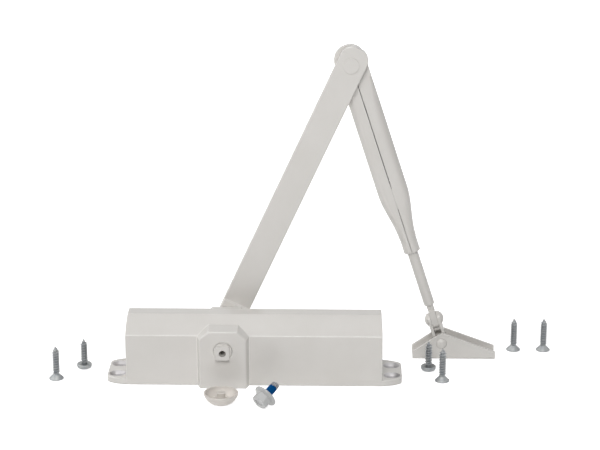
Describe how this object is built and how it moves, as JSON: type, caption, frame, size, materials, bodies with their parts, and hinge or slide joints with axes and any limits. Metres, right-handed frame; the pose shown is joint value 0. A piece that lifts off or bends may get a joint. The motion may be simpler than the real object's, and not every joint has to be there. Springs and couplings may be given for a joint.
{
  "type": "overhead door closer",
  "caption": "Overhead door closer: roofed hydraulic body with screw ears, square spindle, riveted two-part arm with hinged shoe, and loose fixings.",
  "frame": {"origin": "centre of the four fixing slots on the body's mounting face", "axes": "+Z out of the mounting face, +X along the body towards the spring end, +Y along the spindle towards the arm"},
  "size_m": [0.3754, 0.1289, 0.2421],
  "materials": {
    "painted_body": "satin",
    "painted_arm": "satin",
    "plated_steel": "satin",
    "machined_steel": "satin",
    "bearing_steel": "polished",
    "spring_steel": "satin",
    "piston_iron": "satin",
    "valve_brass": "satin",
    "black_rubber": "matte",
    "cap_plastic": "satin",
    "zinc_screws": "satin"
  },
  "bodies": {
    "closer_body": {"housing": "painted_body", "left_end_plug": "plated_steel", "right_end_plug": "plated_steel", "end_plug_seals": "black_rubber", "spindle_bearings": "bearing_steel", "spindle_seals": "black_rubber", "bearing_cap": "plated_steel", "bearing_cap_seal": "black_rubber", "return_spring": "spring_steel", "spindle_cap": "cap_plastic", "arm_bolt": "painted_arm", "countersunk_screws": "zinc_screws", "pan_head_screws": "zinc_screws"},
    "closing_valve_body": {"closing_valve": "valve_brass", "closing_valve_seal": "black_rubber"},
    "latching_valve_body": {"latching_valve": "valve_brass", "latching_valve_seal": "black_rubber"},
    "piston_body": {"piston": "piston_iron", "piston_seal": "black_rubber", "check_valve_seat": "valve_brass", "check_valve_ball": "bearing_steel"},
    "main_arm_body": {"spindle": "machined_steel", "main_arm": "painted_arm", "elbow_rivet": "painted_arm", "elbow_washer": "painted_arm"},
    "forearm_body": {"forearm": "painted_arm"},
    "rod_body": {"rod": "painted_arm", "cross_rivet": "painted_arm"},
    "yoke_body": {"yoke": "painted_arm"},
    "shoe_body": {"shoe": "painted_arm", "shoe_pin": "painted_arm"}
  },
  "joints": [
    {"name": "spindle_turn", "type": "hinge", "parent": "closer_body", "child": "main_arm_body", "pos_m": [-0.0223, 0, 0.0287], "axis": [0, -1, 0], "range_deg": [0, 115], "stiffness_Nm_per_rad": 8, "springref_deg": -91.67},
    {"name": "piston_slide", "type": "slide", "parent": "closer_body", "child": "piston_body", "axis": [1, 0, 0], "range_m": [0, 0.0181], "deforming": ["return_spring"]},
    {"name": "closing_valve_turn", "type": "hinge", "parent": "closer_body", "child": "closing_valve_body", "pos_m": [-0.0936, -0.0135, 0.0096], "axis": [-1, 0, 0], "range_deg": [-180, 180]},
    {"name": "latching_valve_turn", "type": "hinge", "parent": "closer_body", "child": "latching_valve_body", "pos_m": [-0.0936, 0.0135, 0.0096], "axis": [-1, 0, 0], "range_deg": [-180, 180]},
    {"name": "elbow", "type": "hinge", "parent": "main_arm_body", "child": "forearm_body", "pos_m": [0.06938, 0.0348, 0.22803], "axis": [0, 1, 0], "range_deg": [-137, 30]},
    {"name": "rod_length", "type": "slide", "parent": "forearm_body", "child": "rod_body", "axis": [0.309, 0, -0.9511], "range_m": [-0.015, 0.035]},
    {"name": "yoke_tilt", "type": "hinge", "parent": "rod_body", "child": "yoke_body", "pos_m": [0.13375, 0.0408, 0.02992], "axis": [0.9511, 0, 0.309], "range_deg": [-30, 30]},
    {"name": "shoe_pivot", "type": "hinge", "parent": "yoke_body", "child": "shoe_body", "pos_m": [0.13931, 0.0408, 0.0128], "axis": [0, 1, 0], "range_deg": [-93, 57]}
  ],
  "couplings": [
    {"joint": "piston_slide", "follows": "spindle_turn", "m_per_rad": 0.009}
  ]
}
